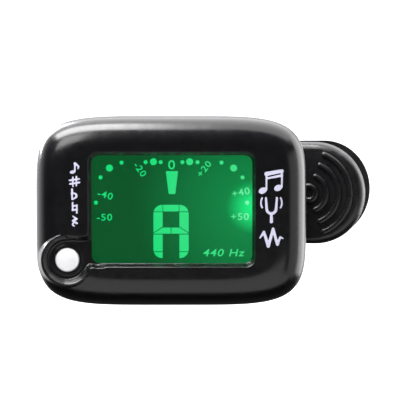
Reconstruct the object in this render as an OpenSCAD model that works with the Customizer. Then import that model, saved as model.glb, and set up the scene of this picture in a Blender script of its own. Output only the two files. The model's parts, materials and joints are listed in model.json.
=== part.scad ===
// Clip-on tuner for a stringed instrument. Lengths are in millimetres.
// X runs along the clip from its jaws to its handles, Y away from the reader, Z up.
// The origin is the centre of the front pad's gripping face.

/* [Head case] */
// Width of the head
head_w = 55; // [54:0.5:58]
// Height of the head
head_h = 38.6; // [38:0.2:41]
// Thickness of the head
head_t = 13.6; // [13.6:0.2:15]
// Squareness of the head's outline, where 2 is an ellipse
head_square = 5; // [4.5:0.5:6]
// Wall of the two covers
wall = 1.6; // [1.4:0.1:1.7]
// Distance of the joint between the covers from the front
split = 7; // [6.8:0.1:7.2]
// Reach of the front's rounded edge, inwards
front_roll = 6; // [5:0.5:6]
// Depth of the front's rounded edge
front_drop = 5.5; // [5:0.5:6]
// Radius of the back's rounded edge
rear_roll = 4; // [3.5:0.5:4]

/* [Screen] */
// Width of the screen's opening at the front
screen_w = 33.8; // [32:0.1:34]
// Height of the screen's opening at the front
screen_h = 23.2; // [22:0.1:23.4]
// Width of the sloping border around the opening
screen_slope = 0.7; // [0.4:0.05:0.9]
// Corner radius of the opening
screen_r = 2.1; // [1.5:0.1:2.5]

/* [Power button] */
// Radius of the button's cap
button_r = 2.4; // [2:0.1:2.5]
// Radius of the collar around the button
collar_r = 5.3; // [5.2:0.1:5.4]
// Travel of the button
button_travel = 0.3; // [0.2:0.05:0.4]

/* [Battery] */
// Radius of the coin cell
cell_r = 10; // [9.5:0.5:10]
// Thickness of the coin cell
cell_t = 3.2; // [2.5:0.1:3.2]

/* [Tilt hinge and swivel] */
// Distance of the hinge's axis behind the head
hinge_back = 4.5; // [4.2:0.1:5]
// Radius of the hinge's knuckles
knuckle_r = 2.8; // [2.6:0.1:3]
// Radius of the hinge screw
hinge_screw_r = 1; // [0.9:0.05:1.1]
// Distance of the hinge's axis in front of the clip
hinge_stand = 6.5; // [6.5:0.1:7.5]
// Radius of the swivel's flange
flange_r = 6; // [5:0.5:6.5]
// Radius of the swivel's spigot in the front lever
spigot_r = 2.5; // [2.2:0.1:2.8]

/* [Clip] */
// Distance of the pivot pin from the middle of the pads
pivot_x = 22; // [21:0.5:24]
// Radius of the pivot pin
pin_r = 1.25; // [1:0.05:1.4]
// Distance of the front paddle's centre from the middle of the pads
front_reach = 34.1; // [32:0.1:38]
// Distance of the rear paddle's centre from the middle of the pads
rear_reach = 36.9; // [34:0.1:40]
// Radius of the paddles
paddle_r = 10.8; // [10.4:0.1:12]
// Thickness of the levers
lever_t = 2.4; // [2.2:0.1:2.8]
// Angle by which each handle leans out
splay = 15; // [12:1:17]
// Gap between the pads at rest
jaw_gap = 2.4; // [2.2:0.1:3]
// Radius of the rounded end of the pads
pad_r = 7; // [6.5:0.1:7]
// Thickness of the pads
pad_t = 3; // [2.6:0.1:3.4]

/* [Torsion spring] */
// Radius of the spring's wire
wire_r = 0.5; // [0.4:0.05:0.55]
// Radius of the coil, to the middle of the wire
coil_r = 2.05; // [1.9:0.05:2.2]
// Length of the spring's legs
leg_len = 9; // [7:0.5:10]

/* [Hidden] */
$fn = 64;
eps = 0.01;

// Clearances: sliding plastic, turning shafts, and parts that are held fast.
slide_gap = 0.1;
run_gap = 0.05;
held_gap = 0.02;

// Clip: the levers are mirror images about the plane y = clip_mid.
clip_mid = jaw_gap / 2;
pad_seat = 0.8;
inner_face = clip_mid + pad_t - pad_seat;
outer_face = inner_face + lever_t;
bend_x = pivot_x - 2;
jaw_half = paddle_r - 0.4;
bend_lap = 0.5;
bend_sink = 0.1;
rim_r = 1.1;
ear_r = 3;
ear_t = 2;
front_ear_z = 5;
rear_ear_z = 7.2;
stop_x = 15.6;
stop_w = 2;

// Swivel and hinge: the swivel turns about Y, and the hinge about X.
swivel_x = 11.5;
lever_front_y = clip_mid - outer_face;
lever_back_y = clip_mid - inner_face;
hinge_y = lever_front_y - hinge_stand;
washer_t = 0.3;
flange_t = 1.2;
flange_back_y = lever_front_y - run_gap - washer_t;
knuckle_half = 2.45;
neck_r = 2.25;
lug_t = 2.5;

// Head: inside in_head(), x and z are measured from the head's centre, and y is the depth
// behind the head's front face.
head_x = 3.75;
head_z = -2.8;
front_y = hinge_y - hinge_back - head_t;
hinge_x = swivel_x - head_x;
hinge_z = -head_z;
hinge_depth = head_t + hinge_back;
skin = 1.4;
case_screw_spots = [[21, 14.2], [-21, 14.2], [21, -14.2], [-13.5, -15.3]];
case_boss_r = 1.9;
case_screw_r = 0.8;

// Display stack, from the front cover's skin backwards.
screen_spot = [0.2, 0.5];
lens_w = screen_w + 0.6;
lens_h = screen_h + 0.6;
lens_t = 0.9;
gasket_t = 0.4;
glass_t = 0.7;
guide_t = 1.6;
sheet_t = 0.2;
ledge_h = 1.8;
lens_y = wall;
gasket_y = lens_y + lens_t;
glass_y = gasket_y + gasket_t;
rear_glass_y = glass_y + glass_t;
guide_y = rear_glass_y + glass_t;
sheet_y = guide_y + guide_t;

// Circuit board and what stands on it.
board_y = 6.5;
board_t = 1;
board_back = board_y + board_t;
board_screw_spots = [[-22.6, 9], [21.2, -5]];
chip_spot = [10, -6];
button_spot = [-20.9, -9.7];
button_front = 0.5;
dish_y = 1.1;
dish_r = 3.8;
dish_rim_r = 4.85;
button_seat_y = 2.2;
seat_r = 3.5;
switch_t = 2;
switch_y = board_y - switch_t;
plunger_r = 0.9;
plunger_y = switch_y - 0.6;

// Battery compartment and its sliding door.
cell_x = -12.5;
cell_y = 8.3;
door_end = -1.5;
door_half = 10.8;
door_y = head_t - 1.3;
floor_t = 0.7;
tongue = 0.8;
tongue_y = door_y + run_gap;
tongue_t = 0.5;

// The points of the head's outline, drawn in by an inset, at a depth. They lie closest
// together where the corners turn.
function outline(inset, depth, n = 64) = [
    for (i = [0 : n - 1])
        let (c = cos(360 * i / n), s = sin(360 * i / n))
        [
            sign(c) * (head_w / 2 - inset) * pow(abs(c), 2 / head_square),
            depth,
            sign(s) * (head_h / 2 - inset) * pow(abs(s), 2 / head_square)
        ]
];

// Pairs of inset and depth down a rounded edge, from the flat face to the side.
function edge_roll(reach, drop, inset, from_y, way, steps = 6) = [
    for (k = [0 : steps])
        let (a = 90 * k / steps)
        [inset + reach * (1 - sin(a)), from_y + way * drop * (1 - cos(a))]
];

function reversed(list) = [for (i = [len(list) - 1 : -1 : 0]) list[i]];

// A closed body through the outlines at the given insets and depths.
module loft(steps, n = 64) {
    rings = [for (step = steps) each outline(step[0], step[1], n)];
    last = (len(steps) - 1) * n;
    polyhedron(
        points = rings,
        faces = [
            [for (i = [n - 1 : -1 : 0]) i],
            for (k = [0 : len(steps) - 2], i = [0 : n - 1])
                let (j = (i + 1) % n)
                each [[k * n + i, k * n + j, (k + 1) * n + j],
                      [k * n + i, (k + 1) * n + j, (k + 1) * n + i]],
            [for (i = [0 : n - 1]) last + i]
        ]
    );
}

// A tube along a path that runs level, with rings that stand upright across it.
module wire(path, r, n = 8) {
    last = len(path) - 1;
    ways = [for (i = [0 : last]) path[min(i + 1, last)] - path[max(i - 1, 0)]];
    rings = [
        for (i = [0 : last], k = [0 : n - 1])
            let (
                flat = [ways[i][0], ways[i][1], 0] / norm([ways[i][0], ways[i][1]]),
                side = [flat[1], -flat[0], 0],
                a = 360 * k / n
            )
            path[i] + r * (cos(a) * side + [0, 0, sin(a)])
    ];
    polyhedron(
        points = rings,
        faces = [
            [for (k = [0 : n - 1]) k],
            for (i = [0 : last - 1], k = [0 : n - 1])
                let (m = (k + 1) % n)
                each [[i * n + k, (i + 1) * n + m, i * n + m],
                      [i * n + k, (i + 1) * n + k, (i + 1) * n + m]],
            [for (k = [n - 1 : -1 : 0]) last * n + k]
        ]
    );
}

module in_head() {
    translate([head_x, front_y, head_z]) children();
}

// Extrudes an outline drawn in x and z between two depths.
module slab(from_y, to_y) {
    translate([0, to_y, 0]) rotate([90, 0, 0]) linear_extrude(to_y - from_y) children();
}

// A round bar along y, at a spot in x and z.
module bar(spot, r, from_y, to_y) {
    translate([spot[0], from_y, spot[1]]) rotate([-90, 0, 0]) cylinder(r = r, h = to_y - from_y);
}

// A block between two corners.
module block(low, high) {
    translate(low) cube(high - low);
}

module rounded(w, h, r) {
    square([w - 2 * r, h], center = true);
    square([w, h - 2 * r], center = true);
    for (x = [-1, 1], y = [-1, 1])
        translate([x * (w / 2 - r), y * (h / 2 - r)]) circle(r);
}

module screen_outline(grow, r) {
    translate(screen_spot) rounded(screen_w + 2 * grow, screen_h + 2 * grow, r);
}

module lens_outline() {
    translate(screen_spot) rounded(lens_w, lens_h, 1);
}

front_steps = concat(edge_roll(front_roll, front_drop, 0, 0, 1), [[0, split]]);
back_steps = edge_roll(rear_roll, rear_roll, 0, head_t, -1);

// The head's whole back half as a solid, from the joint to the back.
module back_body() {
    loft(concat([[0, split]], reversed(back_steps)));
}

module front_cavity() {
    loft(concat(
        edge_roll(front_roll - 1, front_drop - wall, wall, wall, 1),
        [[wall, split + 1]]
    ));
    // Pocket for the lens, the glass and the light guide
    slab(wall, split + 1)
        translate(screen_spot) square([lens_w + 0.4, lens_h + 0.4], center = true);
    slab(glass_y - run_gap, split + 1)
        translate(screen_spot + [0, ledge_h / 2])
            square([lens_w + 0.4, lens_h + ledge_h + 0.4], center = true);
    // Room for the side lamp
    block([0, guide_y - 0.1, -3], [20, split + 1, 4]);
}

// The boss that carries the button's dish where the cover's edge falls away, about the y axis.
module collar() {
    edge = 0.3;
    rotate([-90, 0, 0]) rotate_extrude() polygon(concat(
        [[0, 0]],
        [for (a = [90 : -15 : 0]) [collar_r - edge + edge * cos(a), edge - edge * sin(a)]],
        [[collar_r, 3.4], [0, 3.4]]
    ));
}

module front_cover() {
    color("#151518") in_head() difference() {
        union() {
            difference() {
                loft(front_steps);
                front_cavity();
            }
            translate([button_spot[0], 0, button_spot[1]]) intersection() {
                collar();
                // The boss stops short of the screen's pocket
                block([-8, -1, -8], [3.6, 5, 8]);
            }
            for (spot = case_screw_spots) bar(spot, case_boss_r, 2.2, split);
            for (spot = board_screw_spots) bar(spot, 1.5, wall + 0.1, board_y);
        }
        hull() {
            slab(-eps, 0) screen_outline(eps, screen_r);
            slab(wall - eps, wall) screen_outline(-screen_slope, screen_r - screen_slope / 2);
        }
        slab(wall - 0.1, wall + 0.1) screen_outline(-screen_slope, screen_r - screen_slope / 2);
        // Channel between the dish and the screen
        block([button_spot[0] + 2.6, -1, button_spot[1] - 1.2],
              [screen_spot[0] - screen_w / 2 + screen_slope, dish_y, button_spot[1] + 4.2]);
        bar(button_spot, dish_rim_r, -1, 0);
        translate([button_spot[0], 0, button_spot[1]]) rotate([-90, 0, 0])
            cylinder(r1 = dish_rim_r, r2 = dish_r, h = dish_y);
        bar(button_spot, button_r + slide_gap, 0, split);
        bar(button_spot, seat_r, button_seat_y, split);
        for (spot = case_screw_spots) bar(spot, case_screw_r + held_gap, 3.6, split + 1);
        for (spot = board_screw_spots) bar(spot, 0.6 + held_gap, 3.4, split);
    }
}

// A hinge lug, seen from the side in depth and height.
module lug_outline(foot) {
    translate([hinge_depth, hinge_z]) circle(knuckle_r);
    polygon([
        [head_t - 0.3, hinge_z - foot], [hinge_depth, hinge_z - knuckle_r],
        [hinge_depth, hinge_z + knuckle_r], [head_t - 0.3, hinge_z + foot]
    ]);
}

module along_x(from_x, to_x) {
    translate([from_x, 0, 0]) rotate([90, 0, 90]) linear_extrude(to_x - from_x) children();
}

module rear_cover() {
    color("#17171a") in_head() difference() {
        union() {
            difference() {
                back_body();
                loft(concat(
                    [[wall, split - 1]],
                    reversed(edge_roll(rear_roll - 0.6, rear_roll - skin, wall, head_t - skin, -1))
                ));
            }
            // Floor under the battery door, with a rail under each of the door's tongues
            block([-25.4, door_y - floor_t, -10.8], [door_end + 0.6, door_y, 10.8]);
            for (s = [-1, 1])
                block([-22, door_y - floor_t, s * 11.7 - 1], [door_end, door_y, s * 11.7 + 1]);
            for (spot = case_screw_spots) bar(spot, case_boss_r + 0.4, split, head_t - 1);
            for (s = [-1, 1])
                along_x(hinge_x + s * (knuckle_half + slide_gap + lug_t / 2) - lug_t / 2,
                        hinge_x + s * (knuckle_half + slide_gap + lug_t / 2) + lug_t / 2)
                    lug_outline(4.2);
        }
        // Mouth of the battery compartment
        bar([cell_x, 0], cell_r + 0.3, split, head_t);
        // Way of the battery door, with a groove on each side
        block([-head_w, door_y - eps, -door_half - slide_gap],
              [door_end, head_t + 1, door_half + slide_gap]);
        block([-head_w, door_y, -door_half - tongue - slide_gap],
              [door_end, door_y + tongue_t + 2 * run_gap, door_half + tongue + slide_gap]);
        for (spot = case_screw_spots) {
            bar(spot, case_screw_r + slide_gap, split - 1, head_t);
            bar(spot, 1.7, head_t - 1.3, head_t + 1);
        }
        along_x(hinge_x - 10, hinge_x + 10)
            translate([hinge_depth, hinge_z]) circle(hinge_screw_r + held_gap);
    }
}

module battery_door() {
    color("#1a1a1d") in_head() difference() {
        intersection() {
            back_body();
            union() {
                block([-head_w, door_y + run_gap, -door_half],
                      [door_end - slide_gap, head_t + 1, door_half]);
                block([-head_w, tongue_y, -door_half - tongue],
                      [door_end - slide_gap, tongue_y + tongue_t, door_half + tongue]);
            }
        }
        // Finger grip
        for (i = [0 : 4])
            block([-17 - 1.8 * i, head_t - 0.35, -4.5], [-16.2 - 1.8 * i, head_t + 1, 4.5]);
    }
}

module case_screws() {
    color("#5b5d62") in_head() for (spot = case_screw_spots) difference() {
        union() {
            bar(spot, case_screw_r, 4, head_t - 1.3);
            bar(spot, 1.5, head_t - 1.3, head_t - 0.4);
        }
        translate([spot[0], head_t - 0.4, spot[1]])
            for (a = [0, 90]) rotate([0, a, 0]) block([-1, -0.4, -0.2], [1, 1, 0.2]);
    }
}

module screen_lens() {
    color([0.75, 0.9, 0.8, 0.35]) in_head() slab(lens_y, gasket_y) lens_outline();
}

module screen_gasket() {
    color("#0c0c0e") in_head() slab(gasket_y, glass_y) difference() {
        lens_outline();
        screen_outline(-screen_slope + 0.15, 1.2);
    }
}

module lcd_front_glass() {
    color("#0f7a3a") in_head() slab(glass_y, rear_glass_y)
        translate(screen_spot + [0, ledge_h / 2]) square([lens_w, lens_h + ledge_h], center = true);
}

module lcd_rear_glass() {
    color("#0c5f2d") in_head() slab(rear_glass_y, guide_y)
        translate(screen_spot) square([lens_w, lens_h], center = true);
}

module zebra_strip() {
    color("#3d3d42") in_head()
        block([screen_spot[0] - 14, rear_glass_y, screen_spot[1] + lens_h / 2 + 0.3],
              [screen_spot[0] + 14, board_y, screen_spot[1] + lens_h / 2 + ledge_h - 0.2]);
}

module light_guide() {
    color("#9fe8b4") in_head() slab(guide_y, sheet_y)
        translate(screen_spot) square([lens_w, lens_h], center = true);
}

module reflector_sheet() {
    color("#f4f4f2") in_head() slab(sheet_y, sheet_y + sheet_t)
        translate(screen_spot) square([lens_w - 0.6, lens_h - 0.6], center = true);
}

module backlight_led() {
    side = screen_spot[0] + lens_w / 2;
    color("#e9f6ea") in_head() {
        block([side + 0.05, guide_y + 0.1, -1.1], [side + 1.25, sheet_y - 0.1, 1.9]);
        // Its two feet, soldered to the board
        for (z = [-0.8, 1.1])
            block([side + 0.35, sheet_y - 0.1, z], [side + 0.95, board_y, z + 0.5]);
    }
}

module circuit_board() {
    color("#1f5b33") in_head() difference() {
        slab(board_y, board_back) {
            translate([-3.05, -0.6]) square([42.7, 24.4], center = true);
            translate([18, -10]) square([6, 20]);
            translate([-17, 11]) square([34, 3.6]);
        }
        for (spot = board_screw_spots) bar(spot, 0.6 + slide_gap, board_y - 1, board_back + 1);
    }
}

module board_screws() {
    color("#8d8f94") in_head() for (spot = board_screw_spots) difference() {
        union() {
            bar(spot, 0.6, 3.8, board_back);
            bar(spot, 1.15, board_back, board_back + 0.6);
        }
        translate([spot[0], board_back + 0.6, spot[1]])
            for (a = [0, 90]) rotate([0, a, 0]) block([-0.7, -0.3, -0.15], [0.7, 1, 0.15]);
    }
}

// A blob of black resin over the chip.
module control_chip() {
    blob_h = 1.3;
    blob_r = 4;
    color("#0b0b0c") in_head() translate([chip_spot[0], board_back, chip_spot[1]])
        rotate([-90, 0, 0]) rotate_extrude()
            polygon(concat([[0, 0]], [for (a = [0 : 15 : 90]) [blob_r * cos(a), blob_h * sin(a)]]));
}

module smd_parts() {
    color("#b59a6a") in_head() translate([chip_spot[0], board_back, chip_spot[1]]) {
        for (i = [0 : 4]) block([-6.5, 0, -4 + 2 * i], [-5.2, 0.5, -3.3 + 2 * i]);
        for (i = [0 : 3]) block([-4 + 2.4 * i, 0, 5], [-3.3 + 2.4 * i, 0.5, 6.3]);
    }
}

module crystal() {
    color("#c9ccd0") in_head() translate([17, board_back + 1.05, -3.5]) {
        cylinder(r = 1, h = 6);
        for (x = [-0.35, 0.35]) translate([x, 0, -1.6]) cylinder(r = 0.15, h = 1.6, $fn = 16);
    }
}

module switch_body() {
    color("#2a2a2d") in_head() difference() {
        block([button_spot[0] - 2.2, switch_y, button_spot[1] - 2.2],
              [button_spot[0] + 2.2, board_y, button_spot[1] + 2.2]);
        bar(button_spot, plunger_r + run_gap, switch_y - 1, switch_y + 1.2);
    }
}

module switch_plunger() {
    color("#d9d6cc") in_head() bar(button_spot, plunger_r, plunger_y, switch_y + 0.7);
}

// The cap, its flange behind the cover, and the stem that presses the switch.
module power_button() {
    edge = 0.3;
    color("#f4f4f0") in_head() translate([button_spot[0], 0, button_spot[1]])
        rotate([-90, 0, 0]) rotate_extrude() {
            translate([0, button_front + edge]) square([button_r, 1.5]);
            translate([0, button_front]) square([button_r - edge, 1]);
            translate([button_r - edge, button_front + edge]) circle(edge);
            translate([0, button_seat_y + run_gap]) square([seat_r - 0.2, 0.65]);
            translate([0, button_seat_y]) square([1.4, plunger_y - button_seat_y]);
        }
}

module piezo_plate() {
    color("#c9a24a") in_head() bar([hinge_x, hinge_z], 6, head_t - skin - 0.25, head_t - skin);
}

module piezo_ceramic() {
    color("#e9e4d8") in_head()
        bar([hinge_x, hinge_z], 4.2, head_t - skin - 0.45, head_t - skin - 0.25);
}

// Two leads from the vibration sensor to the circuit board, side by side.
module piezo_leads() {
    for (i = [0, 1]) color(i == 0 ? "#b3261e" : "#26262a") in_head()
        wire([for (t = [0 : 0.125 : 1])
            [hinge_x + 2 + 9 * t, head_t - skin - 0.75 - 3.1 * (3 * t * t - 2 * t * t * t),
             hinge_z + 1.2 + 1.6 * i]], 0.25);
}

module coin_cell() {
    color("#c4c7cb") in_head() translate([cell_x, cell_y, 0]) rotate([-90, 0, 0])
        rotate_extrude() {
            square([cell_r - 0.6, cell_t]);
            translate([0, 0.5]) square([cell_r, cell_t - 0.5]);
        }
}

// A strip that stands on the board and bears on the cell's rim.
module contact_plus() {
    color("#d4b35c") in_head() {
        block([door_end - 0.95, board_back, -3], [door_end - 0.65, cell_y + cell_t - 0.4, 3]);
        block([door_end - 0.95, board_back, -3], [door_end + 2, board_back + 0.3, 3]);
    }
}

// A leaf on the board that bears on the cell's underside.
module contact_minus() {
    leaf = 0.25;
    rise = cell_y - board_back;
    color("#d4b35c") in_head() translate([cell_x, board_back, -1.5]) linear_extrude(3)
        polygon([
            [-5, 0], [1, 0], [5, rise - leaf], [6, rise - leaf], [6, rise],
            [4.9, rise], [0.9, leaf], [-5, leaf]
        ]);
}

module hinge_screw() {
    reach = knuckle_half + slide_gap + lug_t;
    color("#9a9ca1") in_head() difference() {
        union() {
            along_x(hinge_x - reach, hinge_x + reach + 1.5)
                translate([hinge_depth, hinge_z]) circle(hinge_screw_r);
            along_x(hinge_x - reach - 1, hinge_x - reach)
                translate([hinge_depth, hinge_z]) circle(1.9);
        }
        translate([hinge_x - reach - 1, hinge_depth, hinge_z])
            for (a = [0, 90]) rotate([a, 0, 0]) block([-1, -1.2, -0.25], [0.5, 1.2, 0.25]);
    }
}

module hinge_nut() {
    reach = knuckle_half + slide_gap + lug_t;
    color("#8b8d92") in_head() along_x(hinge_x + reach, hinge_x + reach + 1.2)
        translate([hinge_depth, hinge_z]) difference() {
            circle(2, $fn = 6);
            circle(hinge_screw_r + held_gap);
        }
}

module on_swivel() {
    translate([swivel_x, 0, 0]) rotate([-90, 0, 0]) children();
}

// Knuckle, neck, flange and the spigot that turns in the front lever.
module swivel_post() {
    edge = 0.5;
    color("#18181b") difference() {
        union() {
            translate([swivel_x - knuckle_half, hinge_y, 0]) rotate([0, 90, 0])
                cylinder(r = knuckle_r, h = 2 * knuckle_half);
            on_swivel() rotate_extrude() {
                translate([0, hinge_y]) square([neck_r, -hinge_y + flange_back_y - 1]);
                translate([0, flange_back_y - flange_t]) square([flange_r - edge, flange_t]);
                translate([0, flange_back_y - flange_t + edge]) square([flange_r, flange_t - edge]);
                translate([flange_r - edge, flange_back_y - flange_t + edge]) circle(edge);
                translate([0, flange_back_y - 1])
                    square([spigot_r, lever_back_y - run_gap - flange_back_y + 1]);
            }
        }
        translate([swivel_x - 5, hinge_y, 0]) rotate([0, 90, 0])
            cylinder(r = hinge_screw_r + run_gap, h = 10);
        on_swivel() translate([0, 0, hinge_y + 3])
            cylinder(r = 1 + held_gap, h = -hinge_y);
    }
}

module ring(r_in, r_out, from_y, to_y) {
    on_swivel() translate([0, 0, from_y]) linear_extrude(to_y - from_y) difference() {
        circle(r_out);
        circle(r_in);
    }
}

module friction_washer() {
    color("#e8e6df") ring(spigot_r + held_gap, 5, flange_back_y, flange_back_y + washer_t);
}

module retaining_washer() {
    color("#b9bcc1") ring(1 + run_gap, 3.6, lever_back_y + run_gap, lever_back_y + run_gap + 0.5);
}

module swivel_screw() {
    head_y = lever_back_y + run_gap + 0.5;
    color("#8b8d92") difference() {
        on_swivel() {
            translate([0, 0, hinge_y + 3.5]) cylinder(r = 1, h = head_y - hinge_y - 3.5);
            translate([0, 0, head_y]) cylinder(r = 2.2, h = 1.1);
        }
        translate([swivel_x, head_y + 1.1, 0])
            for (a = [0, 90]) rotate([0, a, 0]) block([-1.4, -0.5, -0.3], [1.4, 1, 0.3]);
    }
}

// A lever's section: its width runs along x and its thickness along y, with the inner
// face at y = 0 and the outer corners rounded.
module lever_section(half) {
    for (s = [-1, 1]) translate([s * (half - rim_r), lever_t - rim_r]) circle(rim_r);
    translate([-half, 0]) square([2 * half, lever_t - rim_r]);
    translate([-half + rim_r, 0]) square([2 * (half - rim_r), lever_t]);
}

// A flat length of a lever from x = 0, whose inner face looks along +y.
module lever_strip(half, len) {
    rotate([90, 0, 90]) linear_extrude(len) rotate(90) lever_section(half);
}

module lever_end(half) {
    rotate([90, 0, 0]) rotate_extrude() intersection() {
        lever_section(half);
        square(2 * half);
    }
}

// Concentric finger ridges on the outside of a paddle.
module ridges() {
    foot = 0.55;
    crest = 0.35;
    rise = 0.5;
    rotate([90, 0, 0]) {
        for (ridge = [[1.5, 360], [3.8, 136], [6.4, 136], [8.8, 136]]) rotate(-ridge[1] / 2)
            rotate_extrude(angle = ridge[1]) translate([ridge[0], 0])
                polygon([[-foot, -0.3], [foot, -0.3], [foot, 0.1], [crest, rise],
                         [-crest, rise], [-foot, 0.1]]);
    }
}

// The ear that holds the pivot pin, seen along the pin.
module ear_outline() {
    side = ear_r / sqrt(2);
    foot_x = pivot_x + 9;
    foot_y = -inner_face - (foot_x - bend_x) * tan(splay);
    translate([pivot_x, 0]) circle(ear_r);
    polygon([
        [stop_x - 2, -inner_face], [pivot_x - side, side], [pivot_x + side, side],
        [foot_x, foot_y], [foot_x, foot_y - 0.5], [bend_x, -inner_face - 0.8],
        [stop_x - 2, -inner_face - 0.8]
    ]);
}

// A lever on the near side of the plane y = 0, with its pads' seat and its ears.
module lever(reach, ear_z, bore_r) {
    handle_len = (reach - bend_x) / cos(splay);
    difference() {
        union() {
            translate([0, -inner_face, 0]) {
                lever_end(jaw_half);
                lever_strip(jaw_half, bend_x + bend_lap);
                translate([bend_x, -bend_sink, 0]) rotate([0, 0, -splay]) {
                    lever_strip(paddle_r, handle_len);
                    translate([handle_len, 0, 0]) lever_end(paddle_r);
                    translate([handle_len - 0.9, -lever_t, 0]) ridges();
                }
            }
            for (s = [-1, 1])
                translate([0, 0, s * (ear_z + ear_t / 2) - ear_t / 2])
                    linear_extrude(ear_t) ear_outline();
            // Stop that keeps the pads apart
            block([stop_x, -inner_face - 0.5, -4.5], [stop_x + stop_w, -run_gap, 4.5]);
        }
        slab(-inner_face - pad_seat, -inner_face + 1) pad_outline(run_gap);
        translate([pivot_x, 0, -20]) cylinder(r = bore_r, h = 40);
    }
}

module pad_outline(grow = 0) {
    circle(pad_r + grow);
    translate([0, -pad_r - grow]) square([pad_r + grow, 2 * (pad_r + grow)]);
}

module front_lever() {
    color("#141417") difference() {
        translate([0, clip_mid, 0]) lever(front_reach, front_ear_z, pin_r + 0.01);
        on_swivel() translate([0, 0, -20]) cylinder(r = spigot_r + run_gap, h = 20);
    }
}

module rear_lever() {
    color("#18181b") translate([0, clip_mid, 0]) mirror([0, 1, 0])
        lever(rear_reach, rear_ear_z, pin_r + 0.07);
}

// A pad whose gripping face lies in y = 0 and whose back is in y = -pad_t.
module pad() {
    difference() {
        slab(-pad_t, 0) pad_outline();
        for (i = [-2 : 2]) block([2.4 * i - 0.4, -0.5, -4.6], [2.4 * i + 0.4, 1, 4.6]);
    }
}

module front_pad() {
    color("#2e2e33") pad();
}

module rear_pad() {
    color("#2e2e33") translate([0, jaw_gap, 0]) mirror([0, 1, 0]) pad();
}

module pivot_pin() {
    end = rear_ear_z + ear_t + run_gap;
    color("#b9bcc1") translate([pivot_x, clip_mid, 0]) {
        translate([0, 0, -end]) cylinder(r = pin_r, h = 2 * end);
        translate([0, 0, end]) cylinder(r1 = 2.1, r2 = 1.7, h = 0.8);
        translate([0, 0, -end - 0.6]) cylinder(r1 = 1.5, r2 = 1.9, h = 0.6);
    }
}

// The spring's path: in along the front leg, around the pin, and out along the rear leg.
face_gap = 2 * sin(splay) + inner_face * cos(splay);
leg_angle = splay + asin((face_gap - wire_r - 0.05 - coil_r) / leg_len);
turns = 4 + 2 * (90 + leg_angle) / 360;
pitch = 2 * wire_r + 0.04;
coil_h = turns * pitch;
coil_steps = 96;
coil_path = [
    for (i = [0 : coil_steps])
        let (a = -90 - leg_angle - 360 * turns * i / coil_steps)
        [coil_r * cos(a), coil_r * sin(a), coil_h * (i / coil_steps - 0.5)]
];
leg_way = leg_len * [cos(leg_angle), sin(leg_angle), 0];
spring_path = concat(
    [coil_path[0] + [leg_way[0], -leg_way[1], 0]],
    coil_path,
    [coil_path[coil_steps] + leg_way]
);

module torsion_spring() {
    color("#aeb2b8") translate([pivot_x, clip_mid, 0]) wire(spring_path, wire_r);
}

front_cover();
rear_cover();
battery_door();
case_screws();
screen_lens();
screen_gasket();
lcd_front_glass();
lcd_rear_glass();
zebra_strip();
light_guide();
reflector_sheet();
backlight_led();
circuit_board();
board_screws();
control_chip();
smd_parts();
crystal();
switch_body();
switch_plunger();
power_button();
piezo_plate();
piezo_ceramic();
piezo_leads();
coin_cell();
contact_plus();
contact_minus();
hinge_screw();
hinge_nut();
swivel_post();
friction_washer();
retaining_washer();
swivel_screw();
front_lever();
rear_lever();
front_pad();
rear_pad();
pivot_pin();
torsion_spring();
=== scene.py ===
"""Looks of the clip-on tuner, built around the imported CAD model.

Shapes are worked out in millimetres and turned into metres as meshes are made. On the head,
u runs right and v up from the middle of the front cover, and a depth is measured backwards
from the head's front."""

import json
import math

import bmesh
import bpy
import numpy as np
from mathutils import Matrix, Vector
from mathutils.geometry import delaunay_2d_cdt


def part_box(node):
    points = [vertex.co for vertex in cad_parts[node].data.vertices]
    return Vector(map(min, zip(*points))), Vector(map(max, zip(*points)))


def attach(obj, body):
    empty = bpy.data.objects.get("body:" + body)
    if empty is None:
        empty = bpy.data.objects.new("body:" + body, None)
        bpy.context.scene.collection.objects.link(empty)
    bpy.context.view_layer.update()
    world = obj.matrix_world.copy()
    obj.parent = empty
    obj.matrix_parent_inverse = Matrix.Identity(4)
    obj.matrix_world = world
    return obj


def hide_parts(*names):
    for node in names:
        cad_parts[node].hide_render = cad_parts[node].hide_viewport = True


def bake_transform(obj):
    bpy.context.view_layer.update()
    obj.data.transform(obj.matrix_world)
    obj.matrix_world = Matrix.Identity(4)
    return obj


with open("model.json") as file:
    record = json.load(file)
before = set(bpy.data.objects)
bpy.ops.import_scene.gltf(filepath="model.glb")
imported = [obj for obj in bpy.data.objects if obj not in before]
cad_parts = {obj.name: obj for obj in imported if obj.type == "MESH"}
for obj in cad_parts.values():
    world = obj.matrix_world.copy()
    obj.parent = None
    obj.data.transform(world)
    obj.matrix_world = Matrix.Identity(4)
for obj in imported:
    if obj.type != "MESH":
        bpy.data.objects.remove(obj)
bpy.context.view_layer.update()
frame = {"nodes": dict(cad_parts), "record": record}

MM = 0.001


def box_mm(node):
    """A CAD node's lowest and highest corners in millimetres."""
    low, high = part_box(node)
    return np.array(low) / MM, np.array(high) / MM


# The head. Its outline is a superellipse, its edge is rolled over outside and inside, and its
# face is set back a little from the CAD's, so that what is printed on it stays inside.
COVER_LOW, COVER_HIGH = box_mm("front_cover")
MID_X = (COVER_LOW[0] + COVER_HIGH[0]) / 2
MID_Z = (COVER_LOW[2] + COVER_HIGH[2]) / 2
FRONT_Y = COVER_LOW[1]
HALF_W = (COVER_HIGH[0] - COVER_LOW[0]) / 2
HALF_H = (COVER_HIGH[2] - COVER_LOW[2]) / 2
SPLIT = COVER_HIGH[1] - COVER_LOW[1]
SQUARENESS = 5
ROLL_REACH = 6
ROLL_DROP = 5.5
WALL = 1.6
INNER_REACH = 4.4
INNER_DROP = 4.2
FACE_BACK = 0.02
LIP = 0.16

# How finely the head is worked out
RIM_COUNT = 340
MEAN_R = 24
HALVINGS = 34

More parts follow.
